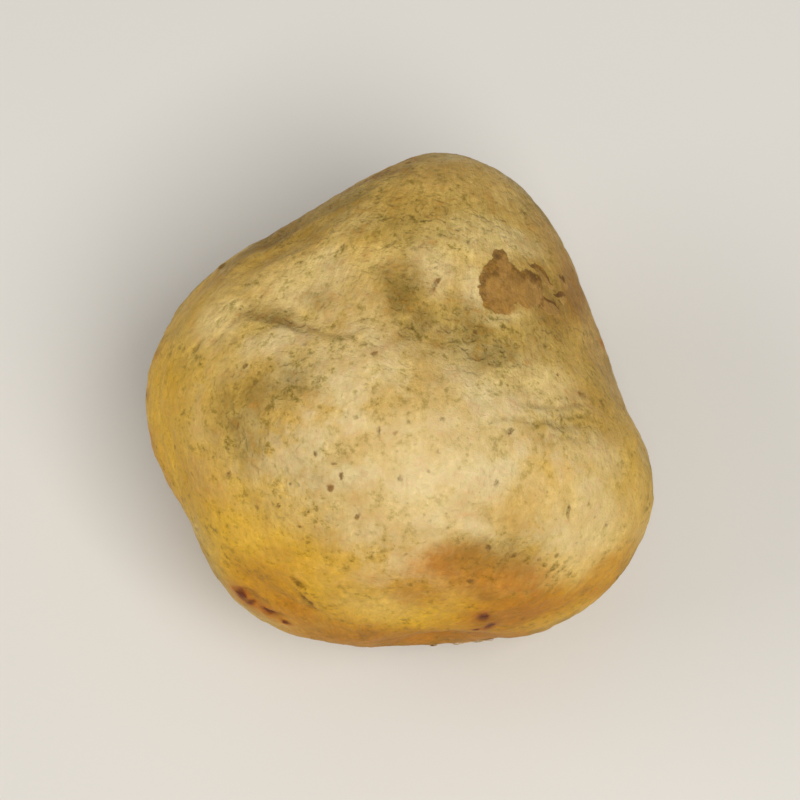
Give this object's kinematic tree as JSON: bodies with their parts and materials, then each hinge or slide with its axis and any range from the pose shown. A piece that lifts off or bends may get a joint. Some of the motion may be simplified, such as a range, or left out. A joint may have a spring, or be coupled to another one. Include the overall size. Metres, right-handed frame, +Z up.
{
  "type": "straw mushroom",
  "caption": "Unopened straw mushroom at the egg stage, a lumpy pear-shaped bulb with a narrow crown and a torn root scar, lying on a small flat spot.",
  "frame": {"origin": "on the surface that the mushroom lies on, straight below the middle of its box", "axes": "+Z up from the flat spot that it rests on, +Y towards the narrow crown, -Y towards the broad base and its root scar, +X to the right as seen from the base"},
  "size_m": [0.0418, 0.0394, 0.0363],
  "materials": {
    "skin": null
  },
  "bodies": {
    "root": {"straw_mushroom": "skin"}
  },
  "joints": []
}
